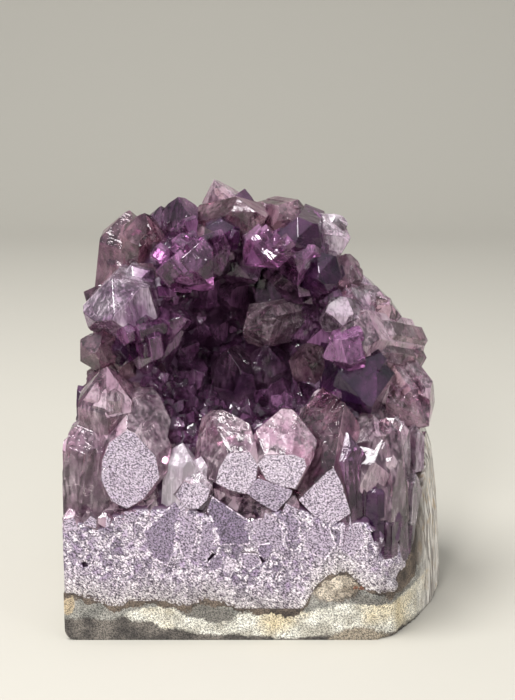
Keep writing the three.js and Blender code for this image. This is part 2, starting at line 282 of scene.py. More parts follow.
def layered(tree, colour, layers):
    """The colour under layers: each one's pattern, where it starts and is full, its most, and its colour."""
    for pattern, start, full, most, over in layers:  # MapRange takes 0: value, 1 and 2: from, 3 and 4: to
        share = add(tree, "MapRange", {0: pattern, 1: start, 2: full, 4: most})
        over = linear(over) if isinstance(over, str) else over
        colour = add(tree, "Mix", {0: share, 6: colour, 7: over}, data_type="RGBA")
    return colour


def saw_grained(tree, colour, where, dark, pale):
    """The colour, from grain to grain nearer to dark or pale times itself, with marks along the saw's way."""
    # Real saw marks and quartz dust are finer than 0.1 mm. These are drawn at 0.2 mm, so that they show.
    along = {"Rotation": (0, SAW_ANGLE, 0), "Scale": (SAW_MARK_LONG, 1, 1)}
    cut = add(tree, "Mapping", {0: where, **along}, vector_type="TEXTURE")
    marks = add(tree, "TexNoise", {"Vector": cut, "Scale": per(0.2083), "Detail": 1})
    grains = add(tree, "TexVoronoi", {"Vector": where, "Scale": per(0.2273)})
    own = add(tree, "SeparateXYZ", {0: grains.outputs["Color"]})
    own = add(tree, "MapRange", {0: own, 3: -0.5, 4: 0.5})
    value = add(tree, "Math", {0: marks, 1: 3.6, 2: own}, operation="MULTIPLY_ADD")
    times = layered(tree, dark, [(value, 1.25, 2.25, 1, pale)])
    return add(tree, "VectorMath", {0: colour, 1: times}, operation="MULTIPLY")


def height_over(tree, place, rows):
    """How far above a line on the sawn front, as a share of BANDS_TALL. Its rows are across and height."""
    left, right = rows[0][0], rows[-1][0]
    across = add(tree, "MapRange", {0: place, 1: MM * left, 2: MM * right})
    line = add(tree, "FloatCurve", {"Value": across})
    curve = line.mapping.curves[0]
    while len(curve.points) < len(rows):
        curve.points.new(0.5, 0.5)
    for point, (x, z) in zip(curve.points, rows):
        point.location = ((x - left) / (right - left), z / BANDS_TALL)
        point.handle_type = "VECTOR"
    line.mapping.update()
    share = add(tree, "Math", {0: place.outputs["Z"], 1: per(BANDS_TALL)}, operation="MULTIPLY")
    return add(tree, "Math", {0: share, 1: line}, operation="SUBTRACT")


def granular():
    """Sawn granular quartz: sugary grey to lilac grains with pale seams and dark pits, stony near the rock.

    Where the saw didn't reach, it is dark violet: the colour of its glassy grown quartz, and painted shade in
    the hollow, in the gaps and where it is set back. The sawn ends of columns and crystals are of it too.
    Their mapping holds 2 plus their own tone, and how far in from their seam a place is.
    """
    material, tree = new_material("granular_quartz")
    where = add(tree, "TexCoord").outputs["Object"]
    place = add(tree, "SeparateXYZ", {0: where})
    mapping = add(tree, "SeparateXYZ", {0: add(tree, "UVMap", uv_map="grown")})
    is_end = add(tree, "MapRange", {0: mapping, 1: 1.4, 2: 1.6})
    wander = add(tree, "TexNoise", {"Vector": where, "Scale": per(1.67), "Detail": 3})
    bend = (2 * MM,) * 3
    bent = add(tree, "VectorMath", {0: wander.outputs["Color"], 1: bend, 2: where}, operation="MULTIPLY_ADD")
    columnar = add(tree, "Mapping", {0: bent, "Scale": (per(3.125), per(3.125), per(4.76))})
    short = add(tree, "TexVoronoi", {"Vector": columnar, "Scale": 1})
    own = add(tree, "SeparateXYZ", {0: short.outputs["Color"]})
    edge = add(tree, "TexVoronoi", {"Vector": columnar, "Scale": 1}, feature="DISTANCE_TO_EDGE")
    seam_wide = add(tree, "MapRange", {0: wander, 1: 0.42, 2: 0.62, 4: 0.16})
    inside = add(tree, "MapRange", {0: edge, 2: seam_wide})
    broken = add(tree, "MapRange", {0: wander, 1: 0.47, 2: 0.55})
    end_inside = add(tree, "Math", {0: mapping.outputs["Y"], 1: broken}, operation="MAXIMUM")
    inside = layered(tree, inside, [(is_end, 0, 1, 1, end_inside)])
    own_tone = add(tree, "MapRange", {0: own, 3: 0.05, 4: 0.8})
    end_tone = add(tree, "MapRange", {0: mapping, 1: 2, 2: 3})
    tone = layered(tree, own_tone, [(is_end, 0, 1, 1, end_tone)])
    tint, pitted, stony, rusted = (  # how much of each at most, and at most on the ends
        add(tree, "MapRange", {0: is_end, 3: most, 4: on_ends})
        for most, on_ends in ((0.6, 0.15), (0.75, 0.15), (0.85, 0), (1, 0))
    )
    pits = add(tree, "TexNoise", {"Vector": where, "Scale": per(0.667), "Detail": 2})
    specks = add(tree, "TexNoise", {"Vector": where, "Scale": per(0.526)})
    over_rim = height_over(tree, place, RIM)
    rusty = add(tree, "MapRange", {0: over_rim, 1: 0.045, 2: 0, 4: rusted})
    plain = layered(tree, linear("#554c5a"), [
        (tone, 0, 1, 1, "#ada3ad"), (wander, 0.5, 0.65, tint, "#8d7697"),
    ])
    stone = layered(tree, linear("#8a8583"), [(own, 0, 1, 1, "#b0aba9")])
    colour = layered(tree, linear("#bcb4ba"), [
        (inside, 0, 1, 1, plain), (pits, 0.58, 0.66, pitted, "#574a5f"), (over_rim, 0.3, 0, stony, stone),
    ])
    dusty = layered(tree, (2.9, 2.8, 2.9, 1), [(tone, 0, 1, 1, (1.85, 1.85, 1.82, 1))])
    dusty = layered(tree, (2.0, 2.0, 1.97, 1), [(is_end, 0, 1, 1, dusty)])
    colour = saw_grained(tree, colour, where, (0.14, 0.09, 0.15, 1), dusty)
    from_front, from_left, on_side, low = (  # how far past each of these places, which are in millimetres
        add(tree, "MapRange", {0: place.outputs[axis], 1: MM * start, 2: MM * end})
        for axis, start, end in (
            ("Y", FRONT + 0.2, FRONT + 0.5), ("X", LEFT + 0.2, LEFT + 0.5), ("X", 23.5, 24), ("Z", 22, 18),
        )
    )
    inward = add(tree, "Math", {0: from_front, 1: from_left}, operation="MINIMUM")
    ground = add(tree, "Math", {0: on_side, 1: low}, operation="MULTIPLY")
    # Dark violet away from the sawn faces: glassy grown quartz, and painted shade in the hollow, in the gaps and
    # where it is set back.
    grown = add(tree, "Math", {0: inward, 1: ground}, operation="SUBTRACT", use_clamp=True)
    colour = layered(tree, colour, [(specks, 0.5, 0.56, rusty, "#4b3b34"), (grown, 0, 1, 1, "#4a2f48")])
    surface = add(tree, "BsdfPrincipled", {"Base Color": colour, "Roughness": 0.45, "IOR": QUARTZ_IOR})
    add(tree, "OutputMaterial", {"Surface": surface})
    return material


sawn_quartz = granular()
roots.data.materials.clear()
roots.data.materials.append(sawn_quartz)
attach(roots, "root")
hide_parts("amethyst_crystals")

# Sawn columns
# The larger columns of the granular quartz, which the saw cut across. They are of the same quartz, each of its
# own tone, with a pale seam to its neighbours, and lie between the granular quartz and the sawn front.
SEAM = 0.45
COLUMN_OUT = (0.02, 0.04)  # behind the sawn front: at least, and at most more
COLUMN_IN = 1.0  # how far back they reach
SAWN_COLUMNS = [  # tone, outline across and up, going anticlockwise
    (0.1, [  # left of the leaf
        (-26, 25), (-26, 21.4), (-23.7, 18.4), (-21.4, 17), (-19.7, 20.2), (-19.4, 26.5), (-18.2, 29.9),
        (-19.7, 31.2), (-23.2, 27.9),
    ]),
    (0.35, [  # leaf
        (-18.7, 27.4), (-19.2, 24.5), (-18.8, 20.5), (-17.1, 18), (-15.8, 19.5), (-14.7, 24.5), (-14.9, 27.9),
        (-17, 29.4),
    ]),
    (0.25, [  # right of the leaf
        (-14.5, 22.5), (-15.2, 18.2), (-13.5, 17.5), (-11.7, 20), (-10.9, 23.4), (-11.7, 26.5), (-13.8, 28.1),
    ]),
    (0.0, [  # large dark one
        (-10.8, 25.4), (-10, 21.8), (-3.6, 22), (-3.8, 27.2), (-11.6, 32.6), (-12.7, 29.4),
    ]),
    (0.35, [  # middle
        (-2.7, 22.7), (-1, 20.5), (3.7, 21.4), (3.4, 25.6), (1.1, 28.1), (-3, 27.4),
    ]),
    (0.15, [  # right of the middle
        (4.1, 25.9), (4.3, 22.7), (6.6, 22.7), (7.3, 26.8), (5.1, 29.4), (2.1, 28.3),
    ]),
    (0.05, [  # small one
        (-1.9, 19.5), (-0.2, 18.6), (1.5, 20.5), (0.5, 22.3), (-1.9, 21.8),
    ]),
    (1.0, [  # tooth
        (-9.4, 15.9), (-7.7, 15.2), (-6.2, 16.8), (-6.6, 18.4), (-8.7, 19.3),
    ]),
    # The column left of the tooth: its dark tone is partly its own, partly painted shade of the gap there.
    (0.1, [  # left of the tooth
        (-12.2, 15.5), (-9.8, 16.4), (-9.2, 19.3), (-10.5, 20), (-13, 17.5),
    ]),
    # The column right of the tooth: its darker tone is partly its own, partly painted shade of the gap there.
    (0.3, [  # right of the tooth
        (-5.5, 17), (-3.6, 15.9), (-1, 17.7), (-2.1, 19.8), (-5.7, 20),
    ]),
    (0.4, [  # right
        (7.7, 24.1), (8.8, 20.2), (12.5, 18.4), (14.8, 21.8), (13.4, 25.6), (10.2, 27),
    ]),
    (0.55, [  # far right
        (15.4, 20.9), (18.2, 18.9), (21.2, 22), (20, 26.8), (15.8, 26.1),
    ]),
]


def dice(seed):
    """Repeatable random numbers from 0 to 1."""
    state = seed & 0xFFFFFFFF

    def roll():
        nonlocal state
        state = (state * 1664525 + 1013904223) & 0xFFFFFFFF
        return state / 4294967296

    return roll


def column(tone, outline, depth):
    """The sawn end of a column: a thin block whose mapping says its tone and how far in from its seam."""
    made = upright(outline, FRONT + depth, FRONT + COLUMN_IN)
    shape = bmesh.new()
    shape.from_mesh(made.data)
    shape.faces.ensure_lookup_table()
    end = shape.faces[0]
    bmesh.ops.inset_individual(shape, faces=[end], thickness=MM * SEAM)
    marks = shape.loops.layers.uv.new("grown")
    inner = set(end.verts)
    for face in shape.faces:
        for loop in face.loops:
            loop[marks].uv = (2 + tone, float(loop.vert in inner))
    shape.to_mesh(made.data)
    shape.free()
    return made


steps = dice(17)
first, *others = [column(*row, COLUMN_OUT[0] + COLUMN_OUT[1] * steps()) for row in SAWN_COLUMNS]
columns = boolean(first, "UNION", others)
columns.name = "sawn_columns"
columns.data.materials.clear()
columns.data.materials.append(sawn_quartz)
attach(columns, "root")
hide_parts("amethyst_crystals")

# Crystals
# Violet to smoky quartz points, grown together from the granular quartz at their roots. They are six-sided
# prisms under six-sided tips, slightly worn at their edges, and sawn flat where they reached past the block.
# Those of one shade overlap and are one clear closed skin.
TIP_SLOPE = math.radians(38.2)  # between the faces of a quartz tip and its axis
HABIT = dict(side=(0.43, 0.14), small_tip=(0.03, 0.14), large_tip=0.05)  # shares of the width
CHAMFER = 0.12  # worn edges
SAWN_STEP = 0.05  # how far the sawn faces of neighbours differ
SURFACES = 2  # grown faces, and sawn ones
SAME_CORNER = 0.01  # corners nearer than this are one
THINNEST = 0.2  # what the saw left that is thinner than this is left out
GRAIN_GAP = 0.02  # between crystals of two shades
IN_CAVITY = 0.3  # how far the crystals reach into the rock
POINTS = [  # shade, tip, root, width across, turn in degrees
    # the crown
    ("rose", (-12, 12, 96), (-9, 15, 86), 10, 10),
    ("violet", (-5, 12, 94), (-7, 15, 85), 9, 35),
    ("smoky", (0, -5, 89), (-13, 8, 85), 11, 0),
    ("smoky", (8, -4, 88), (1, 9, 88), 8, 10),
    ("dark", (6, -14, 84), (9, 6, 86), 9, 0),
    ("pale", (18, -4, 84), (7, 8, 83), 11, 0),
    ("dark", (11, -14, 77), (13, 8, 78), 9, 10),
    # the right shoulder
    ("rose", (18, 2, 80), (17, 8, 70), 9, 0),
    ("pale", (27, 4, 70), (18, 10, 70), 8, 0),
    ("rose", (31, 0, 66), (18, 8, 67), 11, 0),
    ("pale", (13, -12, 69), (24, 2, 64), 8, 0),
    ("pale", (19, -5, 73), (21, 5, 62), 9, 0),
    ("rose", (28, -2, 69), (23, 8, 61), 9, 20),
    ("rose", (16, -14, 64), (32, 8, 57), 12, 0),
    ("rose", (35, 0, 57), (28, 10, 56), 12, 0),
    ("dark", (23, -20, 50), (16, 6, 57), 14, 0),
    ("rose", (37, -8, 42), (28, 5, 53), 12, 0),
    # the upper left
    ("smoky", (-31, 0, 90), (-34, 4, 70), 11, 0),
    ("smoky", (-27, -6, 90), (-30, 2, 72), 8, 0),
    ("violet", (-24, 2, 91), (-25, 6, 79), 6, 0),
    ("violet", (-20, 0, 93), (-19, 6, 80), 9, 0),
    ("dark", (-22, -16, 81), (-22, 4, 82), 6, 0),
    ("smoky", (-14, -16, 84), (-14, 6, 83), 7, 0),
    ("dark", (-10, -13, 85), (-10, 8, 85), 7, 0),
    # the left side
    ("frosted", (-32, -26, 70), (-30, 0, 72), 14, 10),
    ("smoky", (-36, -26, 63), (-36, -5, 60), 8, 0),
    ("dark", (-31, -24, 63), (-31, -4, 62), 7, 0),
    ("rose", (-34, -24, 59), (-34, -20, 42), 12, 0),
    ("rose", (-26, -18, 54), (-31, -39, 28), 14, 8),
    ("rose", (-36, -24, 49), (-41, -22, 20), 11, 0),
    # in the hollow
    ("rose", (-5, -3, 64), (9, 14, 64), 10, 0),
    ("violet", (-9, -1, 58), (-5, 10, 42), 11, 0),
    ("violet", (0, 0, 59), (2, 11, 42), 11, 0),
    ("deep", (-9, 4, 69), (-10, 20, 70), 10, 0),
    ("deep", (-12, 6, 61), (-13, 22, 60), 7, 0),
    ("deep", (-20, -8, 64), (-28, 6, 64), 9, 0),
    ("deep", (-18, -12, 49), (-26, 2, 44), 8, 0),
    ("smoky", (8, -10, 59), (15, 6, 49), 9, 0),
    # along the foot of the hollow
    ("milky", (-18, -25, 43), (-19, -26, 28), 7.5, 0),
    ("milky", (-14, -25, 40), (-14, -26, 29), 4.5, 0),
    ("pale", (-15, -27, 38), (-15, -36, 30), 8, 0),
    ("rose", (-12, -19, 48), (-5, -37, 32), 13, 20),
    ("rose", (4, -20, 49), (3, -37, 34), 12.5, 30),
    ("smoky", (0, -25, 39), (0, -36, 30), 12, 0),
    ("smoky", (11, -17, 55), (14, -36, 27), 15, 0),
    ("rose", (22, -16, 48), (24, -22, 25), 13, 0),
    ("rose", (20, -27, 32), (26, -16, 43), 9, 0),
    ("violet", (17, -24, 45), (18, -26, 21), 8, 0),
    # the lower right
    ("pale", (29, -14, 46), (30, -12, 28), 4, 0),
    ("pale", (34, -6, 42), (34, -6, 31), 4, 0),
    ("violet", (37, -3, 33), (38, -4, 21), 6, 0),
    ("smoky", (28, -21, 36), (29, -20, 24), 5.5, 0),
    ("pale", (33, -15, 33), (32, -17, 22), 6.5, 0),
    ("frosted", (36, -9, 28), (35, -11, 15), 5, 0),
    ("dark", (23, -25, 35), (23, -27, 22), 5, 0),
    ("violet", (26, -25, 30), (26, -26, 18), 4.5, 0),
    ("violet", (28, -21, 28), (29, -23, 14), 5, 0),
    ("violet", (32, -16, 26), (32, -19, 10), 5.5, 0),
    ("violet", (40, 8, 31), (41, 10, 8), 9, 0),
]
SAWN_ENDS = {  # tip: tone and outline of the face that the saw left of this point, going anticlockwise
    (-26, -18, 54): (0.6, [
        (-33.2, 44.5), (-34.7, 40.7), (-35.1, 36.3), (-32.9, 31.5), (-29.7, 29.9), (-26.1, 32.1),
        (-22.6, 36.8), (-23.4, 41.6), (-27.7, 46.6), (-29.3, 47.3),
    ]),
    (-15, -27, 38): (0.8, [
        (-18.2, 32.1), (-17.6, 30.1), (-14.6, 29.9), (-12.7, 31.9), (-12.1, 34.1), (-13.3, 35.7),
        (-15.6, 35.7),
    ]),
    (-12, -19, 48): (0.85, [
        (-10.1, 39), (-10.8, 35.7), (-8, 34.1), (-4.6, 33.2), (-2.3, 36.6), (-1.9, 39.6), (-3.6, 42.5),
        (-8.2, 42.3),
    ]),
    (4, -20, 49): (0.9, [
        (-0.2, 36.3), (3.2, 34.8), (6.1, 34.3), (8.4, 39.2), (8, 41), (5.5, 42), (-0.4, 41.8), (-2.1, 39.9),
    ]),
    (0, -25, 39): (0.35, [
        (-4.9, 33.7), (-1.5, 31.2), (1.9, 29.2), (5.1, 32.6), (5.5, 34.1), (-1.7, 36.8), (-4.2, 35.4),
    ]),
    (11, -17, 55): (0.7, [
        (6.6, 31.9), (10, 28.3), (14.1, 26.3), (17.9, 29), (15.9, 35.2), (14.1, 39.2), (12.5, 37.9),
    ]),
}
PLAIN_TONE = 0.5  # of the other points' sawn faces
END_SLOPES = (20, 40)  # degrees that the faces round a sawn end lean back: its lower ones, its upper ones

# The lesser points: how many, where, how they stand, how far out their tips are, and how wide they are. A size
# in brackets is the least and how much more it can be.
CROWD = dict(
    rows=5, per_row=10, low=31, high=84, middle=8, start=0.86, sweep=1.28, up=(0.5, 0.9), out=(4, 3), deep=7,
    width=(6, 4),
)
TOP_CROWD = dict(
    count=8, across=(-27, 34), back=(2, 15), height=81, up=1.6, out=(2, 5), deep=9, width=(5, 4),
)
LINING = dict(
    count=34, reach=1.05, step=2.399963, lip_height=50, lip_front=-6, out=(-3, -3), deep=-4, width=(8, 4),
)
COMPANIONS = dict(count=4, shortest=4.5, size=(0.3, 0.3), off=(0.5, 0.12), lower=(0.15, 0.75))  # of the width
DRUSE = dict(low=27, apart=2.6, clear=1.5, facing_back=0.4, out=(1, 2), deep=2.5, width=3.4, uneven=(0.7, 0.6))
IN_HOLLOW = 1.2  # the druse of the hollow reaches this far, in its radii
SMOKY_LEFT = -22  # left of here the lesser points are smoky, in the crowd only above a height
SMOKY_HIGH = 55
ROSE_RIGHT = 12  # right of here and low down they are rose, and else violet
ROSE_LOW = 45


def some(least, more, roll):
    return least + more * roll()


def meetings(planes, away):
    """Where any three planes meet inside all the others, and which planes each corner is on."""
    trios = np.array(list(combinations(range(len(planes)), 3)))
    a, b, c = (planes[trios[:, at]] for at in range(3))
    from_a, from_b, from_c = (away[trios[:, at]][:, None] for at in range(3))
    across = np.cross(b, c)
    volume = np.einsum("ij,ij->i", a, across)
    real = np.abs(volume) > 1e-6
    corners = across * from_a + np.cross(c, a) * from_b + np.cross(a, b) * from_c
    corners, trios = corners[real] / volume[real][:, None], trios[real]
    inside = np.all(corners @ planes.T < away + 1e-6, axis=1)
    corners, trios = corners[inside], trios[inside]
    if not len(corners):
        return corners, trios
    same_as = (np.abs(corners[:, None] - corners).max(axis=2) < SAME_CORNER).argmax(axis=1)
    on = np.zeros((len(corners), len(planes)), bool)
    for corner, trio in zip(same_as, trios):
        on[corner, trio] = True
    kept = np.unique(same_as)
    return corners[kept], on[kept]


def face_on(out, found, corners):
    """The corners of one plane's face, in order round it."""
    if len(found) < 3:
        return None
    middle = corners[found].mean(0)
    first = corners[found[0]] - middle
    second = np.cross(out, first)
    turn = np.arctan2((corners[found] - middle) @ second, (corners[found] - middle) @ first)
    return [int(i) for i in found[np.argsort(turn)]]


def quartz_habit(width, length, roll):
    """A quartz point's planes, and how far each is from its tip. Three faces of the tip are larger."""
    planes, away = [(0, 0, -1)], [length]
    for side in range(6):
        angle = side * math.pi / 3
        out = math.cos(angle), math.sin(angle)
        planes.append((*out, 0))
        away.append(width * some(*HABIT["side"], roll))
        planes.append((out[0] * math.cos(TIP_SLOPE), out[1] * math.cos(TIP_SLOPE), math.sin(TIP_SLOPE)))
        is_small = side % 2
        away.append(width * some(*HABIT["small_tip"], roll) if is_small else width * HABIT["large_tip"] * roll())
    return np.array(planes), np.array(away)


def leaning(tip, root, turn):
    """The turn from an upright point to this one."""
    return Vector((0, 0, 1)).rotation_difference(tip - root) @ Quaternion((0, 0, 1), math.radians(turn))


def crystal(point, grow=None):
    """A crystal as an object: with worn edges, or larger all round by grow. Sawn faces have material index 1.

    Its mapping holds 2 plus its tone on the sawn faces. On the others it holds how much the face is frosted,
    and how far down the axis each corner is.
    """
    _, tip, root, turn, planes, away, tone = point
    lean = leaning(tip, root, turn)
    roll = dice(int(abs(tip.x * 7919 + tip.y * 104729 + tip.z * 1299709)))
    step = SAWN_STEP * roll()
    sawn = [
        (lean.inverted() @ Vector((0, -1, 0)), tip.y - FRONT - step),
        (lean.inverted() @ Vector((-1, 0, 0)), tip.x - LEFT - step),
    ]
    planes = np.vstack([planes, [tuple(out) for out, _ in sawn]])
    away = np.append(away, [distance for _, distance in sawn]) + (grow or 0)
    corners, on = meetings(planes, away)
    if not len(corners) or np.ptp(corners @ planes.T, axis=0).min() < THINNEST:
        return None  # all of it was sawn off
    shape = bmesh.new()
    marks = shape.loops.layers.uv.new("grown")
    verts = [shape.verts.new(MM * (lean @ Vector(corner) + tip)) for corner in corners]
    for index, out in enumerate(planes):
        ring = face_on(out, np.flatnonzero(on[:, index]), corners)
        frosted = roll()
        if ring:
            face = shape.faces.new([verts[i] for i in ring])
            is_sawn = index >= len(planes) - len(sawn)
            face.material_index = int(is_sawn)
            for loop in face.loops:
                along = (tip - loop.vert.co / MM).dot((tip - root).normalized())
                loop[marks].uv = (2 + tone, 1) if is_sawn else (frosted, along)
    if grow is None:
        worn = dict(offset=MM * CHAMFER, segments=1, affect="EDGES", clamp_overlap=True)
        bmesh.ops.bevel(shape, geom=shape.edges, **worn)
    mesh = bpy.data.meshes.new("crystal")
    for _ in range(SURFACES):
        mesh.materials.append(None)
    shape.to_mesh(mesh)
    shape.free()
    return new_object("crystal", mesh)


def faces_round_end(outline, tip, root, turn):
    """The planes that lean back from each side of a sawn end, and how far each is from the tip."""
    planes, away = [], []
    for (x, z), (next_x, next_z) in zip(outline, outline[1:] + outline[:1]):
        side = Vector((next_z - z, 0, x - next_x)).normalized()
        slope = math.radians(END_SLOPES[side.z > 0])
        out = side * math.cos(slope) + Vector((0, -math.sin(slope), 0))
        planes.append(tuple(leaning(tip, root, turn).inverted() @ out))
        away.append(out.dot(Vector((x, FRONT, z)) - tip))
    return planes, away


def main_points():
    found = []
    for shade, tip, root, width, turn in POINTS:
        roll = dice(100000 + 37 * tip[0] + 61 * tip[1] + 97 * tip[2])
        tone, outline = SAWN_ENDS.get(tip, (PLAIN_TONE, []))
        tip, root = Vector(tip), Vector(root)
        planes, away = quartz_habit(width, (tip - root).length, roll)
        if outline:
            more, more_away = faces_round_end(outline, tip, root, turn)
            planes, away = np.vstack([planes, more]), np.append(away, more_away)
        found.append((shade, tip, root, turn, planes, away, tone))
    return found


def stand(at, lean, sizes, roll):
    """A lesser point's tip, root, width and turn, from where it stands and its direction."""
    tip = at + lean * some(*sizes["out"], roll)
    return tip, at - lean * sizes["deep"], some(*sizes["width"], roll), 60 * roll()


def lesser_point(shade, tip, root, width, turn, roll):
    return shade, tip, root, turn, *quartz_habit(width, (tip - root).length, roll), PLAIN_TONE


def scattered(out, roll):
    """A direction near this one."""
    return (out + Vector([roll() - 0.5 for _ in range(3)])).normalized()


def roots_at(height):
    """The sides of the granular quartz at a height."""
    after = next(i for i, row in enumerate(ROOTS) if row[0] >= height)
    low, high = ROOTS[after - 1], ROOTS[after]
    share = (height - low[0]) / (high[0] - low[0])
    return [a + share * (b - a) for a, b in zip(low, high)]


def from_hollow(place):
    return Vector((place[i] - HOLLOW_CENTRE[i]) / HOLLOW_RADII[i] for i in range(3))


def crowd_outside(roll):
    """Points that stand all over the outside of the granular quartz."""
    found = []
    for row in range(CROWD["rows"]):
        for i in range(CROWD["per_row"]):
            height = CROWD["low"] + (row + roll()) / CROWD["rows"] * (CROWD["high"] - CROWD["low"])
            angle = math.pi * (CROWD["start"] + (i + roll()) / CROWD["per_row"] * CROWD["sweep"])
            _, left, right, front, _ = roots_at(height)
            x = (left + right) / 2 + (right - left) / 2 * math.cos(angle)
            at = Vector((x, CROWD["middle"] + (CROWD["middle"] - front) * math.sin(angle), height))
            lean = Vector((math.cos(angle), math.sin(angle), some(*CROWD["up"], roll))).normalized()
            own = stand(at, lean, CROWD, roll)
            off = from_hollow(at)
            if at.y > 0 or math.hypot(off.x, off.z) > 1:
                shade = "rose" if x > ROSE_RIGHT or height < ROSE_LOW else "violet"
                if x < SMOKY_LEFT and height > SMOKY_HIGH:
                    shade = "smoky"
                found.append(lesser_point(shade, *own, roll))
    return found


def crowd_on_top(roll):
    found = []
    for _ in range(TOP_CROWD["count"]):
        at = Vector((some(*TOP_CROWD["across"], roll), some(*TOP_CROWD["back"], roll), TOP_CROWD["height"]))
        lean = Vector((roll() - 0.5, roll() - 0.5, TOP_CROWD["up"])).normalized()
        found.append(lesser_point("violet", *stand(at, lean, TOP_CROWD, roll), roll))
    return found


def lining(roll):
    """Points that line the hollow, spread evenly over its wall and pointing inwards."""
    found = []
    for i in range(LINING["count"]):
        y = 1 - (i + 0.5) * (LINING["reach"] / LINING["count"])
        around = math.sqrt(1 - y * y)
        angle = i * LINING["step"] + roll()
        out = Vector((around * math.cos(angle), y, around * math.sin(angle)))
        wall = Vector(out[axis] * HOLLOW_RADII[axis] for axis in range(3)) + HOLLOW_CENTRE
        own = stand(wall, scattered(out, roll), LINING, roll)
        if wall.z > LINING["lip_height"] or wall.y > LINING["lip_front"]:
            found.append(lesser_point("deep", *own, roll))
    return found


def companions(points, roll):
    """Smaller crystals that grew side by side with each point, and give it its steps."""
    found = []
    for shade, tip, root, turn, planes, away, tone in points:
        width = 2 * away[1]
        along = (tip - root).normalized()
        across = along.orthogonal().normalized()
        for _ in range(COMPANIONS["count"]):
            size = width * some(*COMPANIONS["size"], roll)
            aside = Quaternion(along, 2 * math.pi * roll()) @ across
            off = aside * (width * some(*COMPANIONS["off"], roll) - size / 2)
            shift = off - along * width * some(*COMPANIONS["lower"], roll)
            own_tip = tip + shift
            length = max((own_tip - root).length, COMPANIONS["shortest"])
            own_planes, own_away = quartz_habit(size, length, roll)
            ends = slice(len(own_planes), len(planes))
            shift = np.array(leaning(tip, root, turn).inverted() @ shift)
            own_planes = np.vstack([own_planes, planes[ends]])
            own_away = np.append(own_away, away[ends] - planes[ends] @ shift)
            found.append((shade, own_tip, own_tip - along * length, turn, own_planes, own_away, tone))
    return found


def inside_any(place, points):
    return any(
        np.all(planes @ np.array(leaning(tip, root, turn).inverted() @ (place - tip)) < away)
        for _, tip, root, turn, planes, away, _ in points
    )


def druse(points, roll):
    """Small points that cover the granular quartz wherever nothing larger stands."""
    places, found = np.empty((0, 3)), []
    for vertex in roots.data.vertices:
        place, out = vertex.co / MM, vertex.normal
        is_clear = place.y > FRONT + DRUSE["clear"] and place.x > LEFT + DRUSE["clear"]
        if not is_clear or place.z <= DRUSE["low"] or out.y > DRUSE["facing_back"]:
            continue
        if np.any(np.linalg.norm(places - place, axis=1) < DRUSE["apart"]):
            continue
        places = np.vstack([places, place])
        if inside_any(place, points):
            continue
        lean = scattered(out, roll)
        tip = place + lean * some(*DRUSE["out"], roll)
        width, turn = DRUSE["width"] * some(*DRUSE["uneven"], roll), 60 * roll()
        shade = "rose" if place.z < ROSE_LOW else "smoky" if place.x < SMOKY_LEFT else "violet"
        if from_hollow(place).length < IN_HOLLOW:
            shade = "deep"
        found.append(lesser_point(shade, tip, place - DRUSE["deep"] * lean, width, turn, roll))
    return found


lesser = dice(11)
all_points = main_points() + crowd_outside(lesser) + crowd_on_top(lesser) + lining(lesser)
all_points += companions(all_points, dice(23)) + druse(all_points, dice(29))
made_before = []


def crystals_of(shade):
    """One closed skin of a shade's crystals, cut to the block and clear of the shades made before it."""
    own = [point for point in all_points if point[0] == shade]
    pieces = [piece for piece in map(crystal, own) if piece]
    skin = boolean(pieces[0], "UNION", pieces[1:])
    if made_before:
        larger = [crystal(point, GRAIN_GAP) for point in made_before]
        boolean(skin, "DIFFERENCE", [piece for piece in larger if piece])
    boolean(skin, "INTERSECT", [block()])
    boolean(skin, "INTERSECT", [cavity(IN_CAVITY)])
    made_before.extend(own)
    skin.name = "crystals_" + shade
    return skin


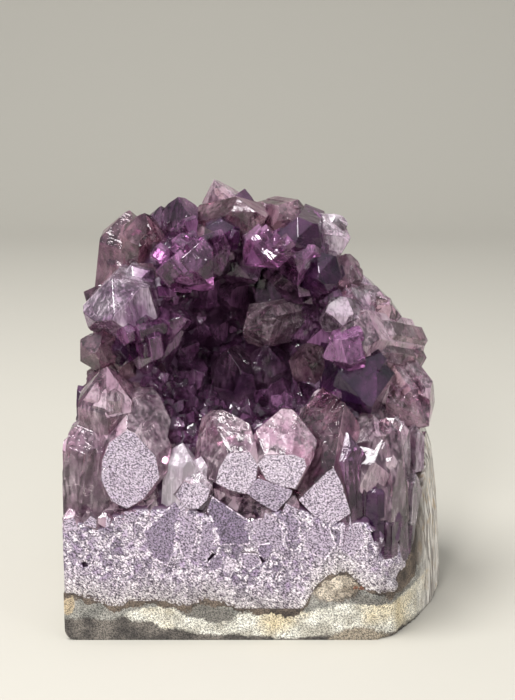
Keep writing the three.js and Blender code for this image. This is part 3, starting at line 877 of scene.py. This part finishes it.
def clear_quartz(shade, body, stain, clear, milky, absorbed, density):
    """Natural quartz as it grew: glassy faces, some of them frosted, over a clear body, darker where thicker.

    Milky streaks, healed cracks and fine fibres cloud it, and faint growth lines run round each point.
    """
    material, tree = new_material("quartz_" + shade)
    where = add(tree, "TexCoord").outputs["Object"]
    grown = add(tree, "SeparateXYZ", {0: add(tree, "UVMap", uv_map="grown")})
    zones = add(tree, "TexNoise", {"Vector": where, "Scale": per(6.67), "Detail": 3})
    lengthwise = add(tree, "Mapping", {0: where, "Scale": (per(2.38), per(2.38), per(5))})
    streaks = add(tree, "TexNoise", {"Vector": lengthwise, "Scale": 1, "Detail": 5})
    streaks = add(tree, "MapRange", {0: streaks, 1: 0.35, 2: 0.75, 4: 0.5})
    own = add(tree, "Math", {0: grown, 1: 3}, operation="POWER")  # so that few faces are much frosted
    frost = add(tree, "Math", {0: own, 1: 0.7, 2: streaks}, operation="MULTIPLY_ADD")
    wander = add(tree, "TexNoise", {"Vector": where, "Scale": per(3.85), "Detail": 3})
    bend = (6 * MM,) * 3
    bent = add(tree, "VectorMath", {0: wander.outputs["Color"], 1: bend, 2: where}, operation="MULTIPLY_ADD")
    split = add(tree, "TexVoronoi", {"Vector": bent, "Scale": per(4.17)}, feature="DISTANCE_TO_EDGE")
    thin = add(tree, "MapRange", {0: split, 2: 0.03, 3: 0.7, 4: 0})
    here = add(tree, "MapRange", {0: wander, 1: 0.48, 2: 0.56})
    cracks = add(tree, "Math", {0: thin, 1: here}, operation="MULTIPLY")
    frost = add(tree, "Math", {0: frost, 1: cracks}, operation="MAXIMUM")
    fine = add(tree, "Mapping", {0: where, "Scale": (per(0.667), per(0.667), per(2.86))})
    fibres = add(tree, "TexNoise", {"Vector": fine, "Scale": 1, "Detail": 3, "Distortion": 0.5})
    fibrous = add(tree, "MapRange", {0: fibres, 1: 0.35, 2: 0.65, 3: -0.22, 4: 0.22})
    frost = add(tree, "Math", {0: fibrous, 1: frost}, operation="ADD")
    colour = layered(tree, linear(body), [(zones, 0.38, 0.62, 1, stain), (cracks, 0, 1, 1, body)])
    clearness = add(tree, "MapRange", {0: frost, 1: 0.1, 2: 0.9, 3: clear, 4: milky})
    dulled = add(tree, "MapRange", {0: frost, 1: 0.1, 2: 0.9, 3: 0.01, 4: 0.1})
    uneven = add(tree, "TexNoise", {"Vector": where, "Scale": per(2.38), "Detail": 3})
    steps = add(tree, "TexVoronoi", {"Vector": where, "Scale": per(3.03)}, distance="CHEBYCHEV")
    lines = add(tree, "TexNoise", {"W": grown.outputs["Y"], "Scale": 2.6, "Detail": 3}, noise_dimensions="1D")
    surface = add(tree, "BsdfPrincipled", {
        "Base Color": colour, "Roughness": dulled, "IOR": QUARTZ_IOR, "Transmission Weight": clearness,
    })
    normal = surface.inputs["Normal"]
    for height, deep in ((fibres, 0.03), (lines, 0.015), (uneven, 0.12), (steps, 0.16)):  # in millimetres
        bump = add(tree, "Bump", {"Height": height, "Strength": 1, "Distance": MM * deep})
        tree.links.new(bump.outputs["Normal"], normal)
        normal = bump.inputs["Normal"]
    inside = add(tree, "VolumeAbsorption", {"Color": absorbed, "Density": density})
    add(tree, "OutputMaterial", {"Surface": surface, "Volume": inside})
    return material


SHADES = {  # body, stain, clear share, clear share where frosted, absorption colour and density per metre
    "rose": ("#f1d9e2", "#cba3b8", 0.96, 0.5, (0.62, 0.15, 0.45, 1), 24),
    "pale": ("#f3e5ed", "#d0b2c8", 0.95, 0.4, (0.62, 0.1, 0.45, 1), 20),
    "milky": ("#e8dce4", "#cdb8c8", 0.66, 0.25, (0.62, 0.1, 0.45, 1), 14),
    "frosted": ("#e2cfdd", "#93708f", 0.9, 0.1, (0.6, 0.1, 0.48, 1), 45),
    "smoky": ("#c09aa8", "#80556d", 0.96, 0.6, (0.56, 0.2, 0.42, 1), 50),
    "violet": ("#a47c9a", "#6c466a", 0.95, 0.55, (0.58, 0.29, 0.47, 1), 68),
    "dark": ("#7c4878", "#42204a", 0.85, 0.7, (0.6, 0.1, 0.5, 1), 75),
    "deep": ("#b07ca8", "#6c3f66", 0.92, 0.4, (0.6, 0.12, 0.48, 1), 42),
}
for shade, finish in SHADES.items():
    skin = crystals_of(shade)
    skin.data.materials[0] = clear_quartz(shade, *finish)
    skin.data.materials[1] = sawn_quartz
    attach(skin, "root")
    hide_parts("amethyst_crystals")

# Rind
# The rock that the cavity formed in: grey-green over a cream band over dark brown, with a rusty rim where the
# quartz starts and a tan lens. It was sawn in front and underneath, ground on the right, and left rough behind.
RIND_TAPER = [  # height, share of its left half, of its right half, of its back half
    (0, 1, 1, 1), (10, 1, 0.99, 1.01), (20, 1, 0.97, 1.02), (32, 0.99, 0.93, 1), (42, 0.98, 0.84, 0.99),
    (52, 0.95, 0.74, 0.95), (62, 0.9, 0.62, 0.89), (70, 0.84, 0.48, 0.81), (77, 0.72, 0.3, 0.72),
]
ROUGH_BEHIND = 20
ROUGH_WANDER = 1.3
RIND_VOXEL = 0.6
RIND_BUMPS = ((1.5, 8), (0.9, 2.7))  # how high, and how far apart
RIND_FLAT = 0.5  # this near its sawn faces there are none
SMOOTH_SHARE = 0.12  # how much of them is left where it was ground
ROUGH_FROM = (12, 8)  # they grow from here back, over this
RIM_DEEP = 14  # how far in from the sawn front the rim keeps its height
UNDER_RIM = dict(low=-1, front=-40)
RAGGED = 0.35  # how uneven the rim is, and how often
RAGGED_EVERY = 1.3
CORNER_RADIUS = 2.5  # of the lower left edge of the block
CREAM_TOP = [  # of the cream band on the sawn front: across, height
    (-44, 5), (-31, 5), (-30, 6.9), (-25.3, 7.1), (-22, 7.6), (-18.8, 6.5), (-14.4, 5), (-11.2, 4.3),
    (-8.4, 5.2), (-4.7, 6.2), (0, 6.4), (7, 6.3), (12, 7.3), (17, 8.6), (22, 8), (27, 7.6), (33, 8.5), (40, 10),
]
CREAM_FOOT = [
    (-44, 5.4), (-31, 5.4), (-30, 4.8), (-26.3, 4.3), (-22, 2.8), (-18.8, 2.2), (-14, 1.5), (-8, 1.2),
    (0, 0.3), (7, 0.5), (12, 0.9), (15, 1.5), (18, 2.7), (22, 2.7), (25, 1.4), (28, 0.8), (33, 0.5), (40, 0.5),
]
HUMP = ((20, -0.3), (6.5, 3.2), 0)  # centre across and up on the front, radii, degrees up to the right
TAN_CORNER = ((-43.2, 8.6), (1.7, 2.4), 0)
DARK_PATCHES = [((-13, 6.3), (6, 1.9), -8), ((20.6, 9.4), (2.2, 0.9), -10), ((26.5, 8.7), (6, 0.7), 4)]
LENS = ((15.6, 12.3), (5.4, 2.7), 14)
LENS_CRUST = ((15.6, 12.3), (5.9, 3.2), 14)
RUST_SPOTS = [((x, z), (0.55, 0.5), 0) for x, z in ((11.1, 13.6), (19.1, 12.2), (20.4, 11.8), (25.9, 13.2))]
SIDE_FROM = (33.5, 38)  # across: where the ground side begins, and where nothing of the front is left
BACK_FROM = (17, 22)  # back: the same for what was never cut


def rough_block():
    wander = dice(5)
    rings = []
    for height, to_left, to_right, to_back in RIND_TAPER:
        ring = []
        for x, y in FOOTPRINT:
            rough = ROUGH_WANDER * (2 * wander() - 1) if y >= ROUGH_BEHIND else 0
            ring.append((x * (to_right if x > 0 else to_left), y * to_back + rough if y > 0 else y, height))
        rings.append(ring)
    return loft("rock_rind", rings)


def rind_shift(place, out):
    """Rough behind, slightly wavy where ground, flat where sawn, and round at its lower left edge."""
    shift = Vector()
    if place.z > RIND_FLAT and place.y > FRONT + RIND_FLAT:
        rough = min(max((place.y - ROUGH_FROM[0]) / ROUGH_FROM[1], SMOOTH_SHARE), 1)
        shift = out * rough * sum(high * noise.noise(place / apart) for high, apart in RIND_BUMPS)
    inward = Vector((place.x - LEFT - CORNER_RADIUS, 0, place.z - CORNER_RADIUS))
    if inward.x < 0 and inward.z < 0 and inward.length > CORNER_RADIUS:
        shift -= inward.normalized() * (inward.length - CORNER_RADIUS)
    return shift


def ragged(rows, roll):
    """The line through the rows, uneven by up to RAGGED."""
    xs, zs = zip(*rows)
    across = np.arange(xs[0], xs[-1] + RAGGED_EVERY, RAGGED_EVERY)
    return [(x, z + RAGGED * (2 * roll() - 1)) for x, z in zip(across, np.interp(across, xs, zs))]


rind = rough_block()
boolean(rind, "DIFFERENCE", [cavity()])
rim = ragged(RIM, dice(41))
low_corners = (rim[-1][0], UNDER_RIM["low"]), (rim[0][0], UNDER_RIM["low"])
under_rim = upright([low_corners[0], *reversed(rim), low_corners[1]], UNDER_RIM["front"], FRONT + RIM_DEEP)
boolean(under_rim, "INTERSECT", [rough_block()])
boolean(rind, "UNION", [under_rim])
remeshed(rind, RIND_VOXEL)
moved(rind, rind_shift)
rind.name = "rind"


def patches(tree, bent, over, *rows):
    """Layers of one colour that fill ellipses on the front."""
    layers = []
    for (x, z), (wide, tall), turn in rows:
        ellipse = {"Location": (MM * x, 0, MM * z), "Scale": (MM * wide, 1, MM * tall)}
        ellipse["Rotation"] = (0, math.radians(-turn), 0)
        off = add(tree, "Mapping", {0: bent, **ellipse}, vector_type="TEXTURE")
        level = add(tree, "VectorMath", {0: off, 1: (1, 0, 1)}, operation="MULTIPLY")
        layers.append((add(tree, "VectorMath", {0: level}, operation="LENGTH"), 1.12, 0.9, 1, over))
    return layers


def rock():
    """Altered volcanic rock: dull sawn bands with uneven edges in front, paler and streaked on the ground side.

    Behind, where it was never cut, it is rough earthy brown with pale crumbs.
    """
    material, tree = new_material("banded_rock")
    where = add(tree, "TexCoord").outputs["Object"]
    wander, crumbs, blotches, wide = (
        add(tree, "TexNoise", {"Vector": where, "Scale": per(size), "Detail": detail})
        for size, detail in ((2.38, 5), (0.556, 2), (4.17, 4), (18.2, 3))
    )
    uneven = add(tree, "Math", {0: wander, 1: 2.6 * MM, 2: -2 * MM}, operation="MULTIPLY_ADD")
    uneven = add(tree, "Math", {0: crumbs, 1: 1.4 * MM, 2: uneven}, operation="MULTIPLY_ADD")
    bent = add(tree, "VectorMath", {0: where, 1: add(tree, "CombineXYZ", {"Z": uneven})}, operation="ADD")
    place = add(tree, "SeparateXYZ", {0: bent})
    over_foot, over_top, over_rim = (height_over(tree, place, rows) for rows in (CREAM_FOOT, CREAM_TOP, RIM))
    rim_wide = add(tree, "MapRange", {0: blotches, 1: 0.4, 2: 0.62, 3: 0.035, 4: 0.085})
    over_rusty = add(tree, "Math", {0: over_rim, 1: rim_wide}, operation="ADD")
    dark, cream, green, rusty, lens = (
        layered(tree, linear(low), [(blotches, 0.38, 0.62, 1, high)])
        for low, high in (
            ("#3f3a37", "#6d665f"), ("#a19c90", "#d3d0c5"), ("#6d6b66", "#8f8c85"), ("#352c27", "#64574c"),
            ("#786d60", "#d6cab8"),
        )
    )
    cream = layered(tree, cream, [(wide, 0.5, 0.62, 0.6, "#c7b48a")])
    front = layered(tree, dark, [
        (over_foot, -0.01, 0.02, 1, cream),
        *patches(tree, bent, "#8d8272", HUMP),
        (over_top, -0.01, 0.015, 1, green),
        *patches(tree, bent, "#6a6660", *DARK_PATCHES),
        *patches(tree, bent, "#a8977d", TAN_CORNER),
        *patches(tree, bent, rusty, LENS_CRUST),
        *patches(tree, bent, lens, LENS),
        (over_rusty, -0.006, 0.006, 1, rusty),
        *patches(tree, bent, "#6b4434", *RUST_SPOTS),
    ])
    front = saw_grained(tree, front, where, (0.35, 0.35, 0.35, 1), (1.55, 1.55, 1.55, 1))
    streaked = add(tree, "Mapping", {0: bent, "Scale": (per(1.43), per(1.43), per(11.1))})
    streaks = add(tree, "TexNoise", {"Vector": streaked, "Scale": 1, "Detail": 5, "Distortion": 1.2})
    side = layered(tree, linear("#7d756f"), [
        (streaks, 0.4, 0.6, 1, "#efe9e0"), (wander, 0.55, 0.7, 0.7, "#b59c78"),
    ])
    behind = layered(tree, linear("#5b544c"), [
        (wide, 0.4, 0.6, 1, "#9c917f"),
        (blotches, 0.45, 0.62, 0.7, "#7c6a55"),
        (crumbs, 0.5, 0.72, 0.6, "#bdb2a0"),
    ])
    colour = layered(tree, front, [
        (place, MM * SIDE_FROM[0], MM * SIDE_FROM[1], 1, side),
        (place.outputs["Y"], MM * BACK_FROM[0], MM * BACK_FROM[1], 1, behind),
    ])
    bump = add(tree, "Bump", {"Height": crumbs, "Strength": 1, "Distance": 0.1 * MM})
    surface = add(tree, "BsdfPrincipled", {"Base Color": colour, "Roughness": 0.75, "Normal": bump})
    add(tree, "OutputMaterial", {"Surface": surface})
    return material


rind.data.materials.clear()
rind.data.materials.append(rock())
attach(rind, "root")
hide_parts("rock_rind")

# Floor
# A sheet of plain pale paper that lies under the object and curves up into a wall behind it, in metres. It
# isn't part of the object.
FLOOR_HALF = 1.6
SWEEP_START = 0.7
SWEEP_RADIUS = 0.4
SWEEP_STEPS = 16
WALL_TOP = 1.4
profile = [(-FLOOR_HALF, 0.0), (SWEEP_START, 0.0)]
for step in range(1, SWEEP_STEPS + 1):
    angle = step / SWEEP_STEPS * math.pi / 2
    profile.append((SWEEP_START + SWEEP_RADIUS * math.sin(angle), SWEEP_RADIUS * (1 - math.cos(angle))))
profile.append((SWEEP_START + SWEEP_RADIUS, WALL_TOP))
corners = [(x, y, z) for y, z in profile for x in (-FLOOR_HALF, FLOOR_HALF)]
floor_mesh = bpy.data.meshes.new("floor")
floor_mesh.from_pydata(corners, [], [(i, i + 1, i + 3, i + 2) for i in range(0, len(corners) - 2, 2)])
floor_mesh.shade_smooth()
floor = new_object("floor", floor_mesh)
paper, tree = new_material("pale_floor")
surface = add(tree, "BsdfPrincipled", {"Base Color": linear("#b0aca2"), "Roughness": 0.7})
add(tree, "OutputMaterial", {"Surface": surface})
floor_mesh.materials.append(paper)

# Light and camera
# Soft light from wide panels, mostly from above, and a dim surround. The camera looks down on the front as the
# photograph does. All of it is in metres.
PANELS = [  # name, place, size, power
    ("overhead", (-0.3, -0.15, 0.8), 0.4, 9.0),
    ("front", (-0.3, -0.9, 0.5), 0.16, 5.0),
    ("beside", (0.6, -0.6, 0.3), 0.16, 1.2),
]
LIT = (0, 0, 0.05)  # the panels face this
SURROUND_LOW = "#6a6c70"
SURROUND_HIGH = "#f0f2f5"
CAMERA_PLACE = (-0.002, -0.2826, 0.1181)
CAMERA_DOWN = 12  # degrees
FRAME_TALL = 700
FOCAL = 1250  # in pixels of a frame that is FRAME_TALL high
for name, place, size, power in PANELS:
    light = bpy.data.lights.new(name, "AREA")
    light.size = size
    light.energy = power
    panel = new_object(name, light)
    panel.location = place
    panel.rotation_euler = (Vector(LIT) - Vector(place)).to_track_quat("-Z", "Y").to_euler()
scene = bpy.context.scene
world = bpy.data.worlds.new("surround")
world.use_nodes = True
surround = world.node_tree
toward = add(surround, "SeparateXYZ", {0: add(surround, "TexCoord").outputs["Generated"]})
sky = layered(surround, linear(SURROUND_LOW), [(toward.outputs["Z"], -0.1, 0.7, 1, SURROUND_HIGH)])
surround.links.new(sky.outputs[2], surround.nodes["Background"].inputs["Color"])
scene.world = world
scene.view_settings.view_transform = "Standard"
lens = bpy.data.cameras.new("camera")
lens.lens = lens.sensor_width * FOCAL / FRAME_TALL
lens.clip_start = 0.01
camera = new_object("camera", lens)
camera.location = CAMERA_PLACE
camera.rotation_euler = (math.radians(90 - CAMERA_DOWN), 0, 0)
scene.camera = camera
